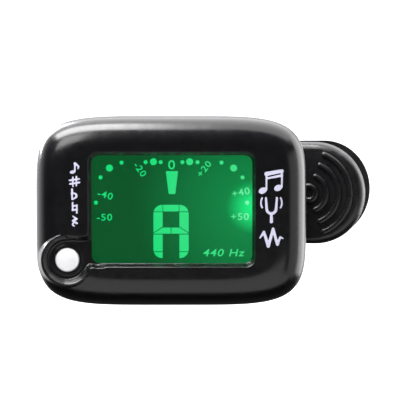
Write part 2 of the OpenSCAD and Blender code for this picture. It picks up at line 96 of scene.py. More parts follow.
# The screen's opening slopes in to a window, a little smaller than the lens behind it
LENS_LOW, LENS_HIGH = box_mm("screen_lens")
LENS_LAP = 0.3
SCREEN_U = (LENS_LOW[0] + LENS_HIGH[0]) / 2 - MID_X
SCREEN_V = (LENS_LOW[2] + LENS_HIGH[2]) / 2 - MID_Z
SCREEN_HALF_W = (LENS_HIGH[0] - LENS_LOW[0]) / 2 - LENS_LAP
SCREEN_HALF_H = (LENS_HIGH[2] - LENS_LOW[2]) / 2 - LENS_LAP
SCREEN_R = 2.1
SCREEN_SLOPE = 0.7
SCREEN_FLOOR = 1.5
WINDOW = (SCREEN_U, SCREEN_V)
WINDOW_HALF = (SCREEN_HALF_W - SCREEN_SLOPE, SCREEN_HALF_H - SCREEN_SLOPE)
WINDOW_R = SCREEN_R - 0.5

# The button, the stepped dish round it, the neck that joins that to the screen's opening, the
# place where the dish's slope and floor change into the opening's, and the boss round the dish
BUTTON_LOW, BUTTON_HIGH = box_mm("power_button")
BUTTON_U = (BUTTON_LOW[0] + BUTTON_HIGH[0]) / 2 - MID_X
BUTTON_V = (BUTTON_LOW[2] + BUTTON_HIGH[2]) / 2 - MID_Z
BUTTON = (BUTTON_U, BUTTON_V)
BUTTON_FRONT = BUTTON_LOW[1] - FRONT_Y
BUTTON_R = 2.4
BUTTON_HOLE_R = 2.5
BUTTON_SEAT = 2.2
STEP_R = 3.15
STEP_DEPTH = 0.8
DISH_RIM_R = 4.85
DISH_SLOPE = 1.0
DISH_FLOOR = 1.1
NECK_TOP = BUTTON_V + 4.84
NECK_RIGHT = SCREEN_U - SCREEN_HALF_W + 3
CHANGE_FROM = SCREEN_U - SCREEN_HALF_W - 1.0
CHANGE_WIDTH = 1.4
BOSS_R = 5.25
BOSS_SLOPE = 3.6
BOSS_EDGE = 0.12
BOSS_BLEND = 0.4

# The clip
PIN_LOW, PIN_HIGH = box_mm("pivot_pin")
PIVOT = (PIN_LOW + PIN_HIGH) / 2
LEVER_LOW = box_mm("front_lever")[0]
SPLAY = math.radians(15)
LEVER_T = 2.4


# ---- meshes

def placed(name, data):
    """An object that holds some data, in the scene."""
    item = bpy.data.objects.new(name, data)
    bpy.context.scene.collection.objects.link(item)
    return item


def add_mesh(name, points, faces, smooth=True):
    """A mesh object from points in millimetres in the row frame."""
    mesh = bpy.data.meshes.new(name)
    mesh.from_pydata((np.asarray(points, float) * MM).tolist(), [], [list(map(int, f)) for f in faces])
    mesh.polygons.foreach_set("use_smooth", [smooth] * len(mesh.polygons))
    return placed(name, mesh)


def rework(source, mesh, *works):
    """Runs functions over the cells of a source mesh, and puts what they make into a mesh."""
    cells = bmesh.new()
    cells.from_mesh(source)
    for work in works:
        work(cells)
    cells.to_mesh(mesh)
    cells.free()


def face_outwards(piece):
    """Turns every face of a closed mesh to look outwards."""
    rework(piece.data, piece.data, lambda cells: bmesh.ops.recalc_face_normals(cells, faces=cells.faces))


def join_corners(cells):
    """Makes one corner of each spot where the CAD's triangles meet."""
    bmesh.ops.remove_doubles(cells, verts=cells.verts, dist=0.002 * MM)


def drop_flat_edges(cells):
    """Makes one face of the triangles that lie in one plane."""
    bmesh.ops.dissolve_limit(cells, angle_limit=math.radians(1), verts=cells.verts, edges=cells.edges)


def apply_modifiers(piece):
    """Replaces a piece's mesh by what its modifiers make of it."""
    bpy.context.view_layer.update()
    graph = bpy.context.evaluated_depsgraph_get()
    mesh = bpy.data.meshes.new_from_object(piece.evaluated_get(graph), depsgraph=graph)
    piece.modifiers.clear()
    piece.data = mesh


def dress(piece, body, slot, material, *nodes):
    """Gives a piece its material and body, and hides the CAD nodes that it stands for. The slot is not
    used.
    """
    piece.data.materials.clear()
    piece.data.materials.append(material)
    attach(piece, body)
    if nodes:
        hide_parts(*nodes)
    return piece


def loop_faces(first, second, count):
    """Quads between two closed rings of vertices, given the index of each ring's first vertex."""
    return [(first + i, first + (i + 1) % count, second + (i + 1) % count, second + i)
            for i in range(count)]


def tube_faces(rings, count, ends=True):
    """Faces over a row of rings of vertices, closed at both ends unless ends is false."""
    faces = []
    for ring in range(rings - 1):
        faces += loop_faces(ring * count, (ring + 1) * count, count)
    if ends:
        faces += [tuple(range(count)), tuple(range((rings - 1) * count, rings * count))[::-1]]
    return faces


def smooth_copy(name, node, bevel, angle, before=(), after=()):
    """A copy of a CAD node with softened edges and even shading, worked on before and after softening."""
    mesh = bpy.data.meshes.new(name)
    rework(frame["nodes"][node].data, mesh, join_corners, *before, drop_flat_edges)
    mesh.polygons.foreach_set("use_smooth", [True] * len(mesh.polygons))
    piece = placed(name, mesh)
    edge = piece.modifiers.new("edge", "BEVEL")
    edge.width = bevel * MM
    edge.segments = 2
    edge.limit_method = "ANGLE"
    edge.angle_limit = math.radians(angle)
    edge.use_clamp_overlap = False
    apply_modifiers(piece)
    if after:
        rework(piece.data, piece.data, *after)
    even = piece.modifiers.new("even", "WEIGHTED_NORMAL")
    even.keep_sharp = True
    even.weight = 80
    apply_modifiers(piece)
    return piece


# ---- plane shapes

def smooth_min(p, q, width):
    """The lesser of two distances, rounded where they are within width of each other."""
    share = np.clip(0.5 + 0.5 * (q - p) / width, 0, 1)
    return q * (1 - share) + p * share - width * share * (1 - share)


def kink(x, edge):
    """0 before x = 0 and x after it, rounded where x is within an edge of 0."""
    return np.where(x < -edge, 0, np.where(x > edge, x, (x + edge) ** 2 / (4 * edge)))


def soft_step(x, width, edge):
    """0 before x = 0 and 1 after x = width, straight in between, with rounded ends."""
    return (kink(x, edge) - kink(x - width, edge)) / width


def to_box(u, v, middle, half, radius):
    """Signed distance to a rounded rectangle, negative inside it."""
    across = np.abs(u - middle[0]) - (half[0] - radius)
    up = np.abs(v - middle[1]) - (half[1] - radius)
    outside = np.hypot(np.maximum(across, 0), np.maximum(up, 0))
    return outside + np.minimum(np.maximum(across, up), 0) - radius


def to_stroke(u, v, start, end, start_r, end_r):
    """Signed distance to a stroke with round ends whose half width changes along it."""
    way = np.subtract(end, start)
    along = np.clip(((u - start[0]) * way[0] + (v - start[1]) * way[1]) / way.dot(way), 0, 1)
    off = np.hypot(u - start[0] - along * way[0], v - start[1] - along * way[1])
    return off - (start_r + along * (end_r - start_r))


def box_outline(middle, half, radius, spacing):
    """Points along a rounded rectangle, anticlockwise from its right side's middle."""
    corners = [(1, 1), (-1, 1), (-1, -1), (1, -1)]
    path = []
    for turn, (sx, sy) in enumerate(corners):
        centre = (middle[0] + sx * (half[0] - radius), middle[1] + sy * (half[1] - radius))
        for a in np.linspace(turn * math.pi / 2, (turn + 1) * math.pi / 2, 13):
            path.append((centre[0] + radius * math.cos(a), centre[1] + radius * math.sin(a)))
    return even_points(np.array(path), spacing)


def even_points(path, spacing):
    """The closed path's points, spread evenly at about a spacing."""
    closed = np.vstack([path, path[:1]])
    run = np.concatenate([[0], np.cumsum(np.hypot(*np.diff(closed, axis=0).T))])
    at = np.linspace(0, run[-1], max(8, int(run[-1] / spacing)), endpoint=False)
    return np.column_stack([np.interp(at, run, closed[:, k]) for k in (0, 1)])


def triangles(points, keep, loops=()):
    """Triangles over points in the plane, with the loops as edges, where keep(u, v) is true."""
    edges = [(first + i, first + (i + 1) % count) for first, count in loops for i in range(count)]
    made = delaunay_2d_cdt([Vector(p) for p in points], edges, [], 0, 1e-6)
    flat = np.array([tuple(p) for p in made[0]])
    source = [group[0] if group else -1 for group in made[3]]
    if -1 in source or len(flat) != len(points):
        raise ValueError("points of a plane shape fall together")
    faces = np.array([[source[i] for i in face] for face in made[2]])
    centre = np.asarray(points)[faces].mean(axis=1)
    return faces[keep(centre[:, 0], centre[:, 1])]


def thin_out(points, others, gap):
    """The points that are at least a gap from every one of the others, and from each other."""
    kept = {}
    for x, y in others:
        kept.setdefault((int(x // gap), int(y // gap)), []).append((x, y))
    result = []
    for x, y in points:
        cell = (int(x // gap), int(y // gap))
        near = (p for i in (-1, 0, 1) for j in (-1, 0, 1)
                for p in kept.get((cell[0] + i, cell[1] + j), ()))
        if all(math.hypot(x - p[0], y - p[1]) >= gap for p in near):
            kept.setdefault(cell, []).append((x, y))
            result.append((x, y))
    return np.array(result).reshape(-1, 2)


def shape_outline(distance, low, high, step):
    """The closed outlines where distance(u, v) is zero, by marching squares."""
    us = np.arange(low[0], high[0] + step, step)
    vs = np.arange(low[1], high[1] + step, step)
    field = distance(*np.meshgrid(us, vs, indexing="ij"))
    field = np.where(np.abs(field) < 1e-6, 1e-6, field)
    links = {}

    def crossing(i, j, down):
        if down:
            t = field[i, j] / (field[i, j] - field[i, j + 1])
            return (i, j, 1), (us[i], vs[j] + t * step)
        t = field[i, j] / (field[i, j] - field[i + 1, j])
        return (i, j, 0), (us[i] + t * step, vs[j])

    spots = {}
    for i in range(len(us) - 1):
        for j in range(len(vs) - 1):
            corner = [field[i, j] < 0, field[i + 1, j] < 0, field[i + 1, j + 1] < 0, field[i, j + 1] < 0]
            if all(corner) or not any(corner):
                continue
            sides = [(i, j, False), (i + 1, j, True), (i, j + 1, False), (i, j, True)]
            cut = [sides[k] for k in range(4) if corner[k] != corner[(k + 1) % 4]]
            keys = []
            for side in cut:
                key, spot = crossing(*side)
                spots[key] = spot
                keys.append(key)
            if len(keys) == 4 and corner[0]:
                keys = [keys[3], keys[0], keys[1], keys[2]]
            for a, b in zip(keys[::2], keys[1::2]):
                links.setdefault(a, []).append(b)
                links.setdefault(b, []).append(a)
    loops = []
    while links:
        start = next(iter(links))
        loop, here = [start], links[start][0]
        while here != start:
            loop.append(here)
            here = next(k for k in links[here] if k != loop[-2])
        for key in loop:
            links.pop(key)
        loops.append(np.array([spots[key] for key in loop]))
    return loops


def enclosed(u, v, outlines):
    """Whether each point is inside an odd number of closed outlines."""
    odd = np.zeros(len(u), bool)
    for outline in outlines:
        for (au, av), (bu, bv) in zip(outline, np.roll(outline, -1, axis=0)):
            spans = (av > v) != (bv > v)
            odd ^= spans & (u < au + (v - av) / np.where(spans, bv - av, 1) * (bu - au))
    return odd


def plate(distance, low, high, step, place, thickness):
    """A thin plate of a plane shape. place(u, v, t) gives row points at a height t over its bed."""
    points, loops = [], []
    for loop in shape_outline(distance, low, high, step):
        loop = thin_out(even_points(loop, step * 1.6), [], step * 0.4)
        loops.append((len(points), len(loop)))
        points.extend(loop.tolist())
    grid = np.stack(np.meshgrid(np.arange(low[0], high[0], 0.6), np.arange(low[1], high[1], 0.6)), -1)
    grid = grid.reshape(-1, 2)
    grid = grid[distance(grid[:, 0], grid[:, 1]) < -step]
    points.extend(grid.tolist())
    points = np.array(points)
    outlines = [points[first:first + n] for first, n in loops]
    top = triangles(points, lambda u, v: enclosed(u, v, outlines), loops)
    count = len(points)
    faces = [tuple(f) for f in top] + [tuple(f[::-1] + count) for f in top]
    for first, n in loops:
        faces += loop_faces(first, first + count, n)
    both = np.vstack([place(points[:, 0], points[:, 1], thickness), place(points[:, 0], points[:, 1], 0)])
    return both, faces


def joined(parts):
    """Points and faces of several parts as one list of each."""
    points, faces = [], []
    for part_points, part_faces in parts:
        shift = len(points)
        points.extend(np.asarray(part_points).tolist())
        faces.extend(tuple(i + shift for i in f) for f in part_faces)
    return np.array(points), faces


# ---- materials

def srgb(*levels):
    """A colour from 0 to 255 levels, as the shader's linear values."""
    return tuple((level / 255 / 12.92) if level < 10.31 else ((level / 255 + 0.055) / 1.055) ** 2.4
                 for level in levels)


def feed(tree, socket, value):
    """Gives an input a value or another node's output."""
    if isinstance(value, bpy.types.NodeSocket):
        tree.links.new(value, socket)
    else:
        socket.default_value = value


def calculated(tree, operation, first, second):
    """What a maths node makes of two values or outputs."""
    node = tree.nodes.new("ShaderNodeMath")
    node.operation = operation
    feed(tree, node.inputs[0], first)
    feed(tree, node.inputs[1], second)
    return node.outputs[0]


class Surface:
    """A procedural material on the Principled shader, in object coordinates."""

    def __init__(self, name, colour, roughness, metallic=0.0, stretch=(1, 1, 1)):
        self.material = bpy.data.materials.new(name)
        self.material.use_nodes = True
        self.tree = self.material.node_tree
        self.shader = self.tree.nodes["Principled BSDF"]
        self.colour = colour
        self.roughness = roughness
        self.shader.inputs["Metallic"].default_value = metallic
        self.shader.inputs["Base Color"].default_value = (*colour, 1)
        place = self.tree.nodes.new("ShaderNodeTexCoord")
        self.place = self.add("ShaderNodeMapping", Vector=place.outputs["Object"])
        self.place.inputs["Scale"].default_value = stretch
        self.last_bump = None

    def add(self, kind, **inputs):
        """A node whose named inputs take a value or another node's output."""
        node = self.tree.nodes.new(kind)
        for name, value in inputs.items():
            feed(self.tree, node.inputs[name.replace("_", " ")], value)
        return node

    def link(self, output, socket):
        """Feeds an output to the shader."""
        self.tree.links.new(output, self.shader.inputs[socket])

    def noise(self, scale, detail=3.0, rough=0.55):
        return self.add("ShaderNodeTexNoise", Vector=self.place.outputs[0], Scale=scale,
                        Detail=detail, Roughness=rough).outputs["Fac"]

    def spread(self, value, low, high, to_low, to_high):
        return self.add("ShaderNodeMapRange", Value=value, From_Min=low, From_Max=high,
                        To_Min=to_low, To_Max=to_high).outputs["Result"]

    def blend(self, share, first, second):
        mix = self.tree.nodes.new("ShaderNodeMix")
        mix.data_type = "RGBA"
        for index, value in ((0, share), (6, first), (7, second)):
            feed(self.tree, mix.inputs[index], (*value, 1) if isinstance(value, tuple) else value)
        return mix.outputs[2]

    def bump(self, height, strength, distance):
        node = self.add("ShaderNodeBump", Height=height, Strength=strength, Distance=distance * MM)
        if self.last_bump:
            feed(self.tree, node.inputs["Normal"], self.last_bump.outputs[0])
        self.last_bump = node
        self.link(node.outputs[0], "Normal")
        return self

    def drift(self, scale, share, rough_share=0.15):
        """Colour and roughness that change a little over the surface."""
        field = self.noise(scale)
        darker = tuple(c * (1 - share) for c in self.colour)
        lighter = tuple(min(1, c * (1 + share)) for c in self.colour)
        self.paint = self.blend(self.spread(field, 0.3, 0.7, 0, 1), darker, lighter)
        self.link(self.paint, "Base Color")
        self.link(self.spread(self.noise(scale * 2.7), 0.3, 0.7, self.roughness * (1 - rough_share),
                              self.roughness * (1 + rough_share)), "Roughness")
        return self

    def worn(self, tint, amount):
        """Edges rubbed a little lighter, from how sharply the mesh turns."""
        point = self.tree.nodes.new("ShaderNodeNewGeometry").outputs["Pointiness"]
        mask = self.spread(point, 0.58, 0.72, 0, amount)
        self.paint = self.blend(mask, self.paint, tint)
        self.link(self.paint, "Base Color")
        return self


def moulded(name, colour, roughness, grain, wear):
    """Satin moulded plastic: a fine grain over a faint flow pattern."""
    made = Surface(name, colour, roughness).drift(260, 0.18)
    made.worn(srgb(74, 74, 80), wear)
    made.bump(made.noise(2600, 2), grain, 0.010)
    made.bump(made.noise(420, 3), 0.12, 0.03)
    made.shader.inputs["IOR"].default_value = 1.5
    return made.material


def metal(name, colour, roughness, stretch=(1, 1, 1)):
    """Worked metal, its marks drawn out by a stretch."""
    made = Surface(name, colour, roughness, 1.0, stretch).drift(700, 0.12, 0.3)
    made.worn(tuple(min(1, c * 1.3) for c in colour), 0.4)
    made.bump(made.noise(1800, 4), 0.2, 0.006)
    return made.material


def rubber(name, colour):
    """Matt rubber, dusty at its edges."""
    made = Surface(name, colour, 0.72).drift(320, 0.2)
    made.worn(srgb(90, 90, 92), 0.25)
    made.bump(made.noise(3400, 2), 0.6, 0.02)
    return made.material


def plain(name, colour, roughness, grain=0.15, scale=1500):
    """A small part's even surface with a slight grain."""
    made = Surface(name, colour, roughness).drift(300, 0.06)
    made.bump(made.noise(scale, 3), grain, 0.01)
    return made.material


def clear_lens(name):
    """Clear plastic with faint smears."""
    made = Surface(name, (1, 1, 1), 0.04)
    made.link(made.spread(made.noise(500, 4), 0.35, 0.75, 0.02, 0.07), "Roughness")
    made.shader.inputs["Transmission Weight"].default_value = 1.0
    made.shader.inputs["IOR"].default_value = 1.46
    made.bump(made.noise(900, 2), 0.03, 0.002)
    return made.material


def glow(name, dim, bright):
    """A lit part of the display, brighter round the side lamp."""
    made = Surface(name, dim, 0.35)
    place = made.tree.nodes.new("ShaderNodeTexCoord").outputs["Object"]
    gap = made.add("ShaderNodeVectorMath", Vector=place)
    gap.operation = "DISTANCE"
    gap.inputs[1].default_value = SIDE_LAMP
    near = made.add("ShaderNodeMapRange", Value=gap.outputs["Value"], From_Min=LAMP_REACH * MM,
                    From_Max=0.0, To_Min=0.0, To_Max=1.0)
    near.interpolation_type = "SMOOTHSTEP"
    wide = made.spread(gap.outputs["Value"], 24 * MM, 4 * MM, 0, 0.2)
    sharper = calculated(made.tree, "POWER", near.outputs["Result"], 1.7)
    field = made.blend(calculated(made.tree, "MAXIMUM", sharper, wide), dim, bright)
    speckled = made.blend(made.spread(made.noise(2400, 2), 0.35, 0.65, 0.0, 0.10), field,
                          tuple(c * 0.6 for c in dim))
    made.link(made.blend(0.97, speckled, (0.0, 0.0, 0.0)), "Base Color")
    made.link(speckled, "Emission Color")
    made.shader.inputs["Emission Strength"].default_value = 1.0
    made.shader.inputs["Specular IOR Level"].default_value = 0.12
    made.bump(made.noise(1600, 2), 0.05, 0.004)
    return made.material


def green_board(name):
    """Solder resist with faint tracks under it."""
    made = Surface(name, srgb(22, 74, 40), 0.32).drift(240, 0.15)
    tracks = made.add("ShaderNodeTexBrick", Vector=made.place.outputs[0], Scale=420.0, Mortar_Size=0.06)
    made.link(made.blend(tracks.outputs["Fac"], srgb(44, 112, 60), srgb(20, 68, 37)), "Base Color")
    made.bump(tracks.outputs["Fac"], 0.3, 0.02)
    return made.material


MATERIALS = {name: make(name, *look) for make, name, *look in (
    (moulded, "case_black", srgb(13, 13, 15), 0.22, 0.25, 0.0),
    (moulded, "clip_black", srgb(14, 14, 16), 0.3, 0.4, 0.25),
    (clear_lens, "screen_clear"),
    (plain, "foam_black", srgb(10, 10, 12), 0.9, 0.5),
    (rubber, "rubber_strip", srgb(70, 70, 74)),
    (plain, "guide_clear", srgb(170, 230, 190), 0.15),
    (plain, "sheet_white", srgb(240, 240, 238), 0.6),
    (plain, "lamp_green", srgb(225, 245, 230), 0.3),
    (green_board, "board_green"),
    (plain, "resin_black", srgb(12, 12, 13), 0.25, 0.3, 500),
    (plain, "smd_tan", srgb(170, 145, 105), 0.5),
    (metal, "steel_screw", (0.20, 0.20, 0.22), 0.36),
    (metal, "steel_bright", (0.56, 0.57, 0.60), 0.28, (1, 1, 6)),
    (metal, "cell_steel", (0.62, 0.63, 0.65), 0.24, (6, 1, 1)),
    (metal, "contact_brass", (0.72, 0.53, 0.20), 0.30),
    (metal, "brass_plate", (0.66, 0.48, 0.18), 0.35),
    (plain, "ceramic_cream", srgb(228, 222, 206), 0.5),
    (plain, "lead_sleeve", srgb(150, 40, 34), 0.5),
    (plain, "switch_black", srgb(30, 30, 32), 0.45),
    (plain, "plunger_cream", srgb(215, 212, 200), 0.5),
    (plain, "button_white", srgb(243, 242, 244), 0.38, 0.12),
    (plain, "washer_white", srgb(225, 223, 215), 0.45),
    (rubber, "pad_rubber", srgb(38, 38, 42)),
    (metal, "spring_steel", (0.50, 0.51, 0.54), 0.25))}


# ---- the head's face

def head_inset(u, v):
    """How far inside the head's outline each point is, up to 7 mm, found by halving."""
    low, high = np.zeros_like(u), np.full_like(u, 7.0)
    for _ in range(HALVINGS):
        middle = (low + high) / 2
        inside = (np.abs(u / (HALF_W - middle)) ** SQUARENESS
                  + np.abs(v / (HALF_H - middle)) ** SQUARENESS) < 1
        low, high = np.where(inside, middle, low), np.where(inside, high, middle)
    return (low + high) / 2


def head_outline(inset, count):
    """About a count of points round the head at an inset, evenly spread on the outermost line."""
    turn = np.linspace(0, 2 * math.pi, 1441)[:-1]
    ring = np.column_stack([np.sign(np.cos(turn)) * np.abs(np.cos(turn)) ** (2 / SQUARENESS),
                            np.sign(np.sin(turn)) * np.abs(np.sin(turn)) ** (2 / SQUARENESS)])
    ring = even_points(ring * (HALF_W, HALF_H), 2 * math.pi * MEAN_R / count) / (HALF_W, HALF_H)
    return ring * (HALF_W - inset, HALF_H - inset)


def rolled(inset, reach, drop):
    """Depth of an edge rolled over as a quarter ellipse."""
    t = 1 - np.clip(inset, 0, reach) / reach
    return drop * (1 - np.sqrt(np.maximum(0, 1 - t * t)))


def opening(u, v):
    """Signed distance to the recessed area: the window, the neck beside it and the dish."""
    window = to_box(u, v, WINDOW, (SCREEN_HALF_W, SCREEN_HALF_H), SCREEN_R)
    low = SCREEN_V - SCREEN_HALF_H
    neck = to_box(u, v, ((BUTTON_U + NECK_RIGHT) / 2, (low + NECK_TOP) / 2),
                  ((NECK_RIGHT - BUTTON_U) / 2, (NECK_TOP - low) / 2), 0.1)
    dish = np.hypot(u - BUTTON_U, v - BUTTON_V) - DISH_RIM_R
    return smooth_min(smooth_min(window, neck, 0.9), dish, 0.7)


def face_depth(u, v):
    """Depth of the front cover's face. The dish's slope and floor change into the window's."""
    r = np.hypot(u - BUTTON_U, v - BUTTON_V)
    wall = kink(r - BOSS_R, BOSS_EDGE) * BOSS_SLOPE
    roll = rolled(head_inset(u, v), ROLL_REACH, ROLL_DROP)
    base = np.maximum(smooth_min(roll, wall, BOSS_BLEND), 0)
    near = np.clip((u - CHANGE_FROM) / CHANGE_WIDTH, 0, 1)
    near = near * near * (3 - 2 * near)
    slope = DISH_SLOPE + (SCREEN_SLOPE - DISH_SLOPE) * near
    floor = DISH_FLOOR + (SCREEN_FLOOR - DISH_FLOOR) * near
    step = (DISH_FLOOR - STEP_DEPTH) * soft_step(STEP_R - r, 0.12, 0.04)
    return FACE_BACK + base + floor * soft_step(-opening(u, v), slope, 0.1) - step


def on_face(u, v, lift):
    """Row points lying on the face, raised by a small lift."""
    return np.column_stack([MID_X + u, FRONT_Y + face_depth(u, v) - lift, MID_Z + v])


def unrolled(u, v):
    """Points spread out over the rolled edge, so that triangles there come out even."""
    inset = head_inset(u, v)
    turn = np.arcsin(np.clip(1 - inset / ROLL_REACH, 0, 1))
    spread = np.where(inset < ROLL_REACH, ROLL_REACH - (ROLL_REACH + ROLL_DROP) / 2 * turn, inset)
    return np.column_stack([u * (HALF_W - spread) / (HALF_W - inset),
                            v * (HALF_H - spread) / (HALF_H - inset)])


def circle(middle, radius, spacing):
    """Points round a circle at about a spacing."""
    turn = np.linspace(0, 2 * math.pi, max(12, int(2 * math.pi * radius / spacing)), endpoint=False)
    return np.column_stack([middle[0] + radius * np.cos(turn), middle[1] + radius * np.sin(turn)])


def grid_points(half, step):
    """A grid over a rectangle, every other row shifted by half a step."""
    us, vs = np.meshgrid(np.arange(-half[0], half[0], step), np.arange(-half[1], half[1], step))
    shift = np.where(np.round(vs / step).astype(int) % 2 == 0, 0.0, step / 2)
    return np.column_stack([(us + shift).ravel(), vs.ravel()])


def level_points(function, levels, area, step):
    """Points along lines where function(u, v) is at each of the levels."""
    lines = []
    for level in levels:
        for loop in shape_outline(lambda u, v: function(u, v) - level, area[0], area[1], step):
            lines.extend(even_points(loop, step).tolist())
    return np.array(lines)


def on_plastic(points, inset, radius, gap):
    """The points further in than an inset and at least a gap away from the two openings."""
    u, v = points.T
    return points[(head_inset(u, v) > inset) & (to_box(u, v, WINDOW, WINDOW_HALF, radius) > gap)
                  & (np.hypot(u - BUTTON_U, v - BUTTON_V) > BUTTON_HOLE_R + gap)]


def face_points(fixed):
    """Points to mesh the face with, close together on its slopes and edges, and not too near
    each other or the fixed ones once unrolled."""
    area = ((BUTTON_U - 6.5, BUTTON_V - 6.5), (SCREEN_U + SCREEN_HALF_W + 1, SCREEN_V + SCREEN_HALF_H + 1))
    wanted = [level_points(opening, (0.22, 0.1, 0.0, -0.1, -0.22, -0.45), area, 0.2),
              level_points(opening, (-0.62, -0.8, -0.92, -1.04, -1.2), area, 0.3)]
    wanted += [circle(BUTTON, r, 0.22) for r in (2.6, 2.78, 2.96, 3.04, 3.1, 3.18, 3.3, 3.5)]
    wanted += [circle(BUTTON, r, 0.22) for r in np.arange(BOSS_R - 0.3, BOSS_R + 1.3, 0.11)]
    wanted += [head_outline(ROLL_REACH * (1 - math.sin(math.radians(a))), RIM_COUNT)
               for a in np.arange(85, 0, -6)]
    wanted += [grid_points((HALF_W, HALF_H), 0.7)]
    wanted = on_plastic(np.vstack(wanted), 0.012, WINDOW_R, 0.06)
    order = {}
    for spot, point in zip(unrolled(*wanted.T), wanted):
        order.setdefault((round(spot[0], 7), round(spot[1], 7)), point)
    kept = thin_out(list(order), unrolled(*fixed.T).tolist(), 0.085)
    return np.array([order[(round(a, 7), round(b, 7))] for a, b in kept])


def shade_exactly(piece, plan, rims, rim_length, face_count):
    """Shades the face and the wall behind its edge by their exact slopes, and the rest flat."""
    mesh = piece.data
    exact = np.zeros((len(mesh.vertices), 3))
    u, v = plan.T
    h = 0.006
    slope_u = (face_depth(u + h, v) - face_depth(u - h, v)) / (2 * h)
    slope_v = (face_depth(u, v + h) - face_depth(u, v - h)) / (2 * h)
    exact[:len(plan)] = np.column_stack([slope_u, -np.ones(len(plan)), slope_v])
    lip = head_outline(0, RIM_COUNT) / (HALF_W, HALF_H)
    outward = np.sign(lip) * np.abs(lip) ** (SQUARENESS - 1) / (HALF_W, HALF_H)
    for first in rims:
        exact[first:first + rim_length] = np.insert(outward, 1, 0, axis=1)
    exact /= np.maximum(np.linalg.norm(exact, axis=1, keepdims=True), 1e-9)
    rounded = face_count + rim_length
    shading = np.zeros((len(mesh.loops), 3))
    for face in mesh.polygons[:rounded]:
        for loop in face.loop_indices:
            shading[loop] = exact[mesh.loops[loop].vertex_index]
    mesh.polygons.foreach_set("use_smooth", [face.index < rounded for face in mesh.polygons])
    mesh.normals_split_custom_set(shading.tolist())


def build_front_cover():
    """The front cover as a closed shell: the face, the wall behind its edge, and the inside."""
    edge = head_outline(0.0, RIM_COUNT)
    window = box_outline(WINDOW, WINDOW_HALF, WINDOW_R, 0.35)
    hole = circle(BUTTON, BUTTON_HOLE_R, 0.25)
    fixed = np.vstack([edge, window, hole])
    plan = np.vstack([fixed, face_points(fixed)])
    counts = (len(edge), len(window), len(hole))
    firsts = (0, counts[0], counts[0] + counts[1])
    loops = list(zip(firsts, counts))
    outlines = (window, hole)

    front = triangles(unrolled(*plan.T), lambda u, v: np.ones(len(u), bool), loops)
    front = front[(front >= counts[0]).any(axis=1)]
    front = front[~enclosed(*plan[front].mean(axis=1).T, outlines)]
    points = [np.column_stack([plan, face_depth(*plan.T)])]
    faces = [tuple(f) for f in front]
    face_count = len(faces)

    def ring(inset, depth):
        spot = sum(len(p) for p in points)
        points.append(np.column_stack([head_outline(inset, RIM_COUNT), np.full(counts[0], depth)]))
        return spot

    side = [0, ring(0, SPLIT - LIP), ring(LIP, SPLIT), ring(WALL, SPLIT)]
    for first, second in zip(side, side[1:]):
        faces += loop_faces(first, second, counts[0])
    fill = [head_outline(WALL + INNER_REACH * (1 - math.sin(math.radians(a))), 120)
            for a in np.arange(75, 0, -15)]
    fill = on_plastic(np.vstack(fill + [grid_points((HALF_W, HALF_H), 1.4)]), WALL + 0.1, SCREEN_R, 0.3)
    back = np.vstack([head_outline(WALL, RIM_COUNT), window, hole])
    back = np.vstack([back, thin_out(fill.tolist(), back.tolist(), 0.2)])
    depth = WALL + rolled(head_inset(*back.T) - WALL, INNER_REACH, INNER_DROP)
    start = sum(len(p) for p in points)
    inner = triangles(back, lambda u, v: ~enclosed(u, v, outlines), loops)
    inner = inner[(inner >= counts[0]).any(axis=1)]
    for outer, (first, count) in zip((side[-1], *firsts[1:]), loops):
        faces += loop_faces(outer, start + first, count)
    faces += [tuple(f[::-1] + start) for f in inner]
    points.append(np.column_stack([back, depth]))
    made = np.vstack(points)
    piece = add_mesh("front_cover_shell",
                     np.column_stack([MID_X + made[:, 0], FRONT_Y + made[:, 2], MID_Z + made[:, 1]]), faces)
    face_outwards(piece)
    shade_exactly(piece, plan, side[:2], counts[0], face_count)
    return piece


dress(build_front_cover(), "head", "case_black", MATERIALS["case_black"], "front_cover")


# ---- the display

GLASS_Y = box_mm("lcd_front_glass")[0][1]
GLASS_GAP = 0.02
SIDE_LAMP = tuple(np.array([MID_X + 16.6, GLASS_Y, MID_Z + 0.9]) * MM)
LAMP_REACH = 9.5
MATERIALS["display_green"] = glow("display_green", srgb(0, 85, 37), srgb(30, 250, 135))
SEGMENT = glow("display_segment", srgb(18, 228, 124), srgb(150, 255, 200))
AXIS = SCREEN_U - 0.1


def on_glass(u, v, lift):
    """Row points just in front of the display's glass, raised by a small lift."""
    return np.column_stack([MID_X + u, np.full_like(u, GLASS_Y - lift - GLASS_GAP), MID_Z + v])


